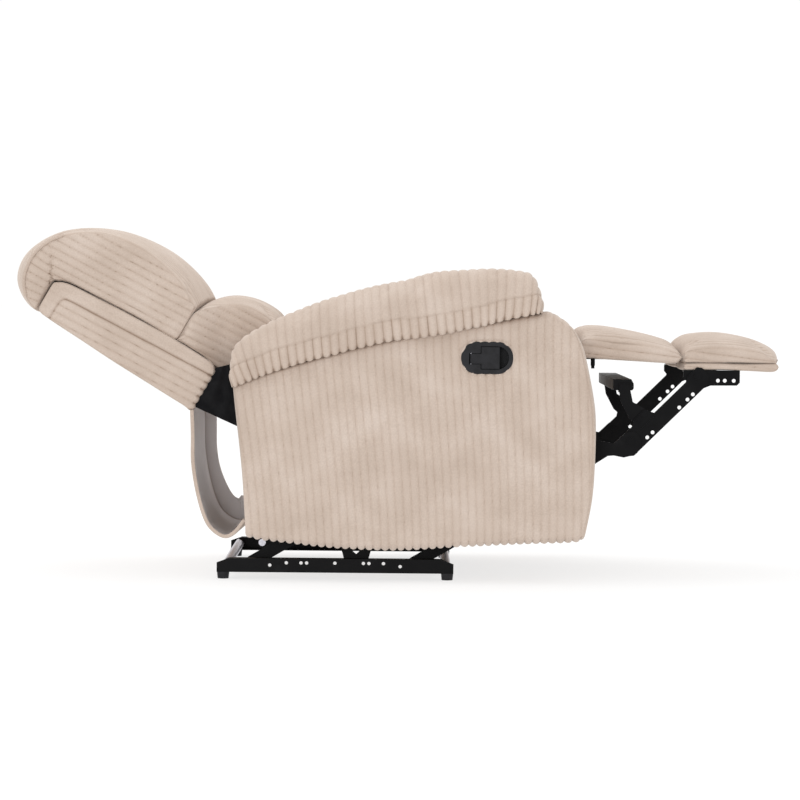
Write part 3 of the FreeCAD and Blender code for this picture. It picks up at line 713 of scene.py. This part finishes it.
def plate_edge(flat):
    """Distance in mm outside the handle plate's long round-ended outline."""
    x, z = flat[..., 0] / MM - PLATE_MIDDLE[0], flat[..., 1] / MM - PLATE_MIDDLE[1]
    return np.hypot(np.maximum(np.abs(x) - PLATE_STRAIGHT, 0), z) - PLATE_RADIUS


def arm_box(side):
    """One arm box. Its outline's four sides are filled in by a Coons patch: each point mixes the two pairs of opposite
    sides and takes off the corners. Two such faces stand back to back, and near the outline they curve in to meet.
    On the right the outer face sinks into a pocket behind the handle's plate, and its ribs lie a little way over the
    plate's rim. Gives the grids with their lifts and grooves."""
    u = shares(PANEL_LENGTH, 2.0)
    v = np.r_[np.linspace(0, 0.045, 10), np.linspace(0.045, 0.73, 32)[1:], np.linspace(0.73, 0.935, 44)[1:],
              np.linspace(0.955, 1, 10)]
    below, above = smooth_line(PANEL_UNDER, 400), smooth_line(PANEL_TOP, 400)
    rear, front = smooth_line(PANEL_REAR, 200), smooth_line(PANEL_FRONT, 200)
    b, t = resample(below, 0, u)[:, None], resample(above, 0, u)[:, None]
    r, f = resample(rear, 0, v)[None], resample(front, 0, v)[None]
    uu, vv = u[:, None, None], v[None, :, None]
    corners = (1 - uu) * ((1 - vv) * rear[0] + vv * rear[-1]) + uu * ((1 - vv) * front[0] + vv * front[-1])
    flat = (1 - vv) * b + vv * t + (1 - uu) * r + uu * f - corners
    from_rear, from_front = u[:, None] * PANEL_LENGTH, (1 - u)[:, None] * PANEL_LENGTH
    from_under, from_top = v[None] * PANEL_HEIGHT, (1 - v)[None] * PANEL_HEIGHT
    curve = 1
    for distance in (from_rear, from_front, from_under, from_top):
        curve = curve * (1 - (1 - np.minimum(distance / PANEL_ROUND, 1)) ** ROUND_SHAPE) ** (1 / ROUND_SHAPE)
    centre, depth = sum(PANEL_Y) / 2, (PANEL_Y[1] - PANEL_Y[0]) / 2
    grids = [np.stack([flat[..., 0], side * (centre + way * depth * curve) * MM, flat[..., 1]], -1) for way in (1, -1)]
    lean = 0.116 * (flat[..., 1] - 0.114) * (1 - u[:, None])
    rib = wale(flat[..., 0] + lean + side * 0.004 * np.sin(flat[..., 1] * 9))
    strip = np.clip((from_front - FRONT_STRIP) / 4, 0, 1)
    crease = np.exp(-((from_front - FRONT_STRIP) / 1.8) ** 2) * np.clip(from_under / 20, 0, 1)
    scallop = np.exp(-(from_under / 9) ** 2)
    lifts, grooves = [], []
    away = plate_edge(flat)
    if side < 0:
        grids[0][..., 1] += POCKET * MM / (1 + np.exp(np.minimum((away + 4.5) / 0.5, 300)))
    for number, grid in enumerate(grids):
        brim = BRIM * rib * np.exp(-((away - 0.7) / 2.4) ** 2) * (side < 0 and number == 0)
        ribs = (rib - MID_RIB) * (1.5 + SCALLOP * scallop) * strip
        lifts.append((brim + ribs + ripple(grid, 0.22, 3 + side) - 2.2 * crease) * MM)
        # Painted shade in the rib valleys, a little deeper along the scalloped lower edge, and in the crease at the
        # front strip.
        groove = (1 - rib) ** 1.5 * strip * (0.8 + 0.2 * scallop) + 0.6 * crease
        grooves.append(np.clip(groove, 0, 1) + 0 * grid[..., 0])
    return grids, lifts, grooves


for side, word in ((-1, "right"), (1, "left")):
    arm = sew("arm_box_" + word, *arm_box(side))
    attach(arm, "carriage")
    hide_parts("side_panel_" + word)

# ---------------------------------------------------------------- arm pads
# A foam pad over the top of each arm, covered with ribs running across it. A separate strip of the same cloth is
# gathered round its foot: its ribs puff out below a stitched line and pinch into notches at the seam.
ARM_STATIONS = [(-337, 403), (-327, 406), (-302, 416), (-266, 430), (-194, 453), (-93, 482), (0, 502), (60, 509),
                (110, 519), (168, 530), (204, 540), (238, 548), (274, 556), (301, 562)]
ARM_CREST = [(-338, 412), (-339, 452), (-331, 486), (-286, 521), (-206, 558), (-102, 598), (-14, 621), (46, 634),
             (96, 643), (160, 647), (208, 647), (246, 645), (282, 632), (303, 567)]
ARM_Y = (260, 390)
ARM_SLACK = 0.97
ARM_SWELL = 6
BAND = 41
BAND_PUFF = 3.0
BAND_RIB = 4.2
CROWN_RIB = 3.3
NOTCH = 6.5


def arm_pad_grids(side, along, around):
    """One arm pad: at each station along the arm a flattened arch rises from the outer seam to the crest and down to
    the inner seam; the arches narrow at both ends, and a floor joins the two seams."""
    stations, crest = np.array(ARM_STATIONS, float), np.array(ARM_CREST, float)
    both = smooth_line(np.hstack([stations, crest]), 400)
    both = resample(both, 0, along)
    foot, top = both[:, :2], both[:, 2:]
    s = along[:, None]
    ends = (1 - (1 - np.minimum(np.minimum(s, 1 - s) / 0.05, 1)) ** 2.2) ** (1 / 2.2)
    angle = np.pi * around[None, :]
    high = np.sin(angle) ** 0.72
    wide = np.sign(np.cos(angle)) * np.abs(np.cos(angle)) ** 0.62
    centre, half = sum(ARM_Y) / 2, (ARM_Y[1] - ARM_Y[0]) / 2
    y = side * (centre + wide * half * ends) * MM
    flat = foot[:, None] + (top - foot)[:, None] * high[..., None]
    arch = np.stack([flat[..., 0], y, flat[..., 1]], -1)
    w = np.linspace(0, 1, 5)[None, :, None]
    floor = arch[:, :1] * (1 - w) + arch[:, -1:] * w
    return [arch, floor]


def arm_pad(side, word):
    """The cover of one arm pad, with the band's fat gathered ribs below the stitched line, pinched into notches at the
    seam, and finer ribs above it. The line wavers by a millimetre or two, and the band's ribs are not all as fat."""
    along = np.linspace(0, 1, 58)
    coarse = arm_pad_grids(side, along, np.linspace(0, 1, 22))
    middle = side * sum(ARM_Y) / 2 * MM
    for g in coarse:
        g[:, :, 1] = middle + (g[:, :, 1] - middle) * ARM_SLACK
    soft = inflate("arm_pad_" + word, coarse, ARM_SWELL * MM, 3.0)
    fine = shares(700, 2.0)
    arch, floor = resample(soft[0], 0, fine), resample(soft[1], 0, fine)
    around = np.r_[np.linspace(0, 0.16, 18), np.linspace(0.16, 0.84, 40)[1:-1], np.linspace(0.84, 1, 18)]
    arch = resample(arch, 1, around)
    seam = smooth_line(ARM_STATIONS, 400)
    length = np.linalg.norm(np.diff(seam, axis=0), axis=1).sum()
    run = (fine * length)[:, None]
    pieces = np.linalg.norm(np.diff(arch, axis=1), axis=2)
    up = np.hstack([np.zeros((len(fine), 1)), np.cumsum(pieces, axis=1)]) / MM
    height = np.minimum(up, up[:, -1:] - up) + 1.3 * np.sin(run * 31) + 0.7 * np.sin(run * 87)
    rib = wale(run) + 0 * up
    band = 1 / (1 + np.exp((height - BAND) / 1.2))
    stitched = np.exp(-((height - BAND) / 2.6) ** 2)
    foot = np.exp(-(height / 5.0) ** 2)
    puff = np.sin(np.pi * np.clip(height / BAND, 0, 1)) ** 0.5
    slim = np.clip(np.minimum(fine, 1 - fine) / 0.02, 0, 1)[:, None]
    uneven = 0.75 + 0.25 * np.sin(run / RIB * 2.39 + side)
    gathered = puff * (BAND_PUFF + BAND_RIB * (rib - 0.4) * uneven)
    lift = band * gathered + (1 - band) * (CROWN_RIB * (rib - MID_RIB) + 0.6)
    lift = lift - 2.4 * stitched + foot * NOTCH * (rib - 0.62) + ripple(arch, 0.12, 5 + side)
    # Painted shade: darker in the rib valleys, along the stitched line and in the notches at the seam; the floor under
    # the pad is painted in deep shade throughout.
    groove = band * (1 - rib) ** 0.8 + (1 - band) * 0.5 * (1 - rib) ** 1.5 + 0.2 * stitched + foot * (1 - rib)
    lifts = [lift * slim * MM, np.zeros(floor.shape[:2])]
    grooves = [np.clip(groove, 0, 1), np.full(floor.shape[:2], 0.8)]
    return sew("arm_pad_cover_" + word, [arch, floor], lifts, grooves)


for side, word in ((-1, "right"), (1, "left")):
    pad = arm_pad(side, word)
    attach(pad, "carriage")
    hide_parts("arm_pad_" + word)

# ---------------------------------------------------------------- gussets between arm and back
# Black lining cloth closes the gap between each arm and the back's hinge. It is stapled slack, so that the back can
# move, and hangs in a few soft folds running down from the front upper corner.
black_cloth, black_tree, black_shader = material_base("black_lining", 0.95, spec=0.1)
black_shader.inputs["Sheen Weight"].default_value = 0.1
mottle(black_tree, black_shader, place_noise(black_tree, 40, 4),
       [(0.3, (0.004, 0.004, 0.005)), (0.7, (0.011, 0.011, 0.012))])
bump(black_tree, black_shader, place_noise(black_tree, 1500, 2, (1, 1, 0.3)), 0.0004, 0.5)
GUSSET_REAR = [(-374, 440), (-381, 424), (-391, 405), (-403, 385), (-414, 366), (-418, 358)]
GUSSET_FRONT = [(-343, 447), (-340, 424), (-336, 407), (-331, 370), (-328, 335), (-326, 318)]
GUSSET_Y = 305.5
GUSSET_ROWS = 46
GUSSET_SCALLOP = 4.5


def open_sheet(name, grid, thickness, material, groove=None):
    """A sheet of cloth: the grid's cells as faces, given their thickness evenly to both sides by Solidify."""
    rows, columns = grid.shape[:2]
    number = np.arange(rows * columns).reshape(rows, columns)
    mesh = bpy.data.meshes.new(name)
    mesh.from_pydata(grid.reshape(-1, 3).tolist(), [], grid_cells(number).tolist())
    mesh.polygons.foreach_set("use_smooth", np.ones(len(mesh.polygons), bool))
    values = np.zeros(rows * columns) if groove is None else groove.ravel()
    mesh.attributes.new("groove", "FLOAT", "POINT").data.foreach_set("value", values.astype(np.float32))
    mesh.materials.append(material)
    piece = bpy.data.objects.new(name, mesh)
    stage_scene.collection.objects.link(piece)
    wall = piece.modifiers.new("thickness", "SOLIDIFY")
    wall.thickness = thickness
    wall.offset = 0
    return piece


for side, word in ((-1, "right"), (1, "left")):
    rear_edge, front_edge = smooth_line(GUSSET_REAR, GUSSET_ROWS), smooth_line(GUSSET_FRONT, GUSSET_ROWS)
    rear_edge[:, 0] += (GUSSET_SCALLOP * wale(rear_edge @ SHELL_UP[::2]) - 1) * MM
    w = np.linspace(0, 1, 40)[None, :, None]
    flat = rear_edge[:, None] * (1 - w) + front_edge[:, None] * w
    down = np.linspace(0, 1, GUSSET_ROWS)[:, None]
    folds = np.sin(w[..., 0] * 13 + down * 3.5 + side) * np.sin(np.pi * w[..., 0]) ** 0.7 * (1.0 + 1.6 * down)
    y = (side * GUSSET_Y + folds) * MM
    gusset = open_sheet("gusset_" + word, np.stack([flat[..., 0], y, flat[..., 1]], -1), 0.8 * MM, black_cloth)
    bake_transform(gusset)
    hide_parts("side_gussets")

# ---------------------------------------------------------------- rear flap and its lining
# A corduroy apron hangs from the foot of the back in a slack loop and is fixed under the arm boxes, hiding the works
# from behind. It is lined in pale cloth, its side edges are turned in, the left one much deeper than the right, and
# it hangs a little askew.
FLAP_LINE = [(-424, 352), (-422, 300), (-421, 242), (-411, 180), (-395, 127), (-378, 102), (-353, 88), (-331, 97),
             (-309, 124)]
FLAP_HALF = 310
FLAP_ROWS = 90
RIGHT_COLUMNS, FLAT_COLUMNS, LEFT_COLUMNS = 5, 300, 13
RIGHT_TURN = 6
LEFT_TURN, LEFT_DEEPER = 29, 22
FLAP_ASKEW = 13
FLAP_BELLY = 4


def flap_grid(offset, cut=0.0):
    """The apron: the hanging line carried across the chair, its left edge turned in by 29 to 51 mm and its right edge
    by 6 mm, all shifted inwards by offset, with the turned edges shorter by cut, in mm."""
    line = smooth_line(FLAP_LINE, FLAP_ROWS)
    way = directions(line)
    inward = np.stack([-way[:, 1], way[:, 0]], 1)
    share = np.linspace(0, 1, FLAP_ROWS)
    deep = LEFT_TURN + LEFT_DEEPER * np.clip((share - 0.4) / 0.4, 0, 1) ** 1.5
    deep = deep * np.clip((1 - share) / 0.04, 0.3, 1)
    flat = np.linspace(-FLAP_HALF, FLAP_HALF, FLAT_COLUMNS)
    near = np.linspace(RIGHT_TURN - cut, 0, RIGHT_COLUMNS + 1)[:-1]
    far = np.linspace(0, 1, LEFT_COLUMNS + 1)[1:]
    y = np.r_[1.5 * np.linspace(1, 0, RIGHT_COLUMNS + 1)[:-1] - FLAP_HALF, flat, FLAP_HALF - 3 * far ** 2] * MM
    lift = np.concatenate([np.broadcast_to(near, (FLAP_ROWS, RIGHT_COLUMNS)), np.zeros((FLAP_ROWS, FLAT_COLUMNS)),
                           (deep[:, None] - cut) * far[None]], 1)
    hang = np.cos(flat / FLAP_HALF * np.pi / 2) ** 2
    belly = np.r_[np.zeros(RIGHT_COLUMNS), hang, np.zeros(LEFT_COLUMNS)][None] * -FLAP_BELLY
    slack = -FLAP_ASKEW * np.clip((y / MM + FLAP_HALF) / (2 * FLAP_HALF), 0, 1)[None]
    sway = (lift + slack + belly * np.sin(np.pi * share)[:, None] + offset) * MM
    place = line[:, None] + inward[:, None] * sway[..., None]
    inset = np.sign(y) * np.clip((np.abs(y) - 0.3) / 0.01, 0, 1) * offset * MM
    return np.stack([place[..., 0], np.broadcast_to(y - inset, sway.shape), place[..., 1]], -1)


flap_points = flap_grid(0)
flap_rib = wale(flap_points[..., 1] + RIB / 2)
outer = np.zeros_like(flap_points)
line_way = directions(smooth_line(FLAP_LINE, FLAP_ROWS))
outer[..., 0], outer[..., 2] = line_way[:, 1:2], -line_way[:, 0:1]
only_flat = np.abs(flap_points[..., 1]) < (FLAP_HALF - 5) * MM
flap_points = flap_points + outer * ((flap_rib - 0.5) * 1.6 * only_flat * MM)[..., None]
# Painted shade in the apron's rib valleys, kept off its turned edges.
rear_flap = open_sheet("rear_flap_cloth", flap_points, 2.4 * MM, corduroy, (1 - flap_rib) ** 1.5 * only_flat)
lining, lining_tree, lining_shader = material_base("pale_lining", 0.9, spec=0.2)
lining_cloth = ramp(lining_tree, place_noise(lining_tree, 16, 3),
                    [(0.3, (0.90, 0.89, 0.90)), (0.7, (0.96, 0.95, 0.96))])
# Painted light and shade on the lining: the groove value darkens the body of the lining to grey and the fold at the
# left edge to brown, and leaves the turned-in left edge white, as if lit.
lining_shade_ramp = ramp(lining_tree, groove_depth(lining_tree),
                   [(0.0, (1.0, 1.0, 1.0)), (0.5, (0.78, 0.76, 0.76)), (1.0, (0.50, 0.44, 0.40))])
lining_tree.links.new(times(lining_tree, lining_shade_ramp, lining_cloth), lining_shader.inputs["Base Color"])
bump(lining_tree, lining_shader, place_noise(lining_tree, 1400, 2, (1, 0.3, 1)), 0.0003, 0.5)
# The painted shade for each column: half strength on the body and the right turned edge, none on the turned-in left
# edge, rising to full at the fold between them.
from_fold = np.arange(RIGHT_COLUMNS + FLAT_COLUMNS + LEFT_COLUMNS)[None] - (RIGHT_COLUMNS + FLAT_COLUMNS - 1)
painted_lining_shade = np.where(from_fold > 0, 0.0, 0.5) + 0.5 * np.exp(-np.abs(from_fold) / 6.0)
flap_lining = open_sheet("rear_flap_lining_cloth", flap_grid(3.2, 4.0), 0.8 * MM, lining,
                         np.clip(painted_lining_shade, 0, 1) * np.ones((FLAP_ROWS, 1)))
for piece, node, slot, name in ((rear_flap, "rear_flap", "fabric_beige", "arm_box_right"),
                                (flap_lining, "rear_flap_lining", "lining", "rear_flap_cloth")):
    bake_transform(piece)
    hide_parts(node)

# ---------------------------------------------------------------- footrest
# Two foam pads on plywood boards, covered in corduroy with the ribs along the legs. The middle pad's cover is drawn
# down round its board as well; the foot pad's board has a wrap of its own, and a dark line shows between the two.
MID_TOP = [(384, 474), (383, 505), (386, 521), (396, 527), (424, 527), (454, 524), (502, 515), (546, 505), (576, 496),
           (591, 487), (598, 468)]
MID_SIDE = [(384, 474), (384, 492), (388, 502), (400, 506), (450, 501), (502, 496), (546, 489), (576, 481), (591, 476),
            (598, 468)]
MID_UNDER = [(384, 474), (389, 467), (445, 463), (503, 459.5), (559, 456.5), (585, 456.5), (598, 468)]
FOOT_TOP = [(601, 462), (599, 484), (605, 497), (636, 507), (690, 511), (750, 502), (788, 488), (806, 475), (812, 462)]
FOOT_SIDE = [(601, 462), (600, 474), (606, 481), (640, 487), (690, 488), (746, 483), (772, 476), (787, 467),
             (792, 461)]
FOOT_UNDER = [(601, 462), (605, 457.5), (640, 457.2), (720, 457.2), (790, 457.2), (807, 457.5), (812, 463)]
FOOT_BASE_TOP = [(602, 449), (605, 456.3), (640, 457), (700, 457), (770, 457), (793, 456.5), (799, 449)]
FOOT_BASE_UNDER = [(602, 449), (606, 441), (680, 441.5), (740, 441.5), (781, 440), (794, 442), (799, 449)]
PAD_HALF = 244
PAD_ROOM = 250
WRAP_HALF = 243


def level_run(grid):
    """Ribs along the legs on the side faces: height above the floor, a little sloped with the pad."""
    return grid[..., 2] + 0.12 * (grid[..., 0] - 0.4) + 4 * MM


for name, covered, top, rim, under, half, swell, planes, size in (
        ("mid_pad_cover", ("mid_pad", "mid_board"), MID_TOP, MID_SIDE, MID_UNDER, PAD_HALF, 4,
         [(1, 0, 0, 382.5), (-1, 0, 0, -599)], (230, 60)),
        ("foot_pad_cover", ("foot_pad",), FOOT_TOP, FOOT_SIDE, FOOT_UNDER, PAD_HALF, 5,
         [(0, 0, 1, 457), (1, 0, 0, 600), (-1, 0, 0, -822)], (240, 60)),
        ("foot_board_wrap", ("foot_board",), FOOT_BASE_TOP, None, FOOT_BASE_UNDER, WRAP_HALF, 0, [], (200, 16))):
    form = loaf(top, under, half, (40, 40, 8), rim, 4 if swell else 1)
    if swell:
        form = rest_on(inflate(name, form, swell * MM), planes + between(PAD_ROOM))
    form = finer(form, shares(size[0], 4), shares(500, ACROSS_RIBS), shares(size[1], 2.4))
    pad = cover_loaf(name, form, half, 1.9 if swell else 0.8, level_run, None, 2.0 if swell else 0.8)
    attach(pad, "footrest")
    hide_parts(*covered)
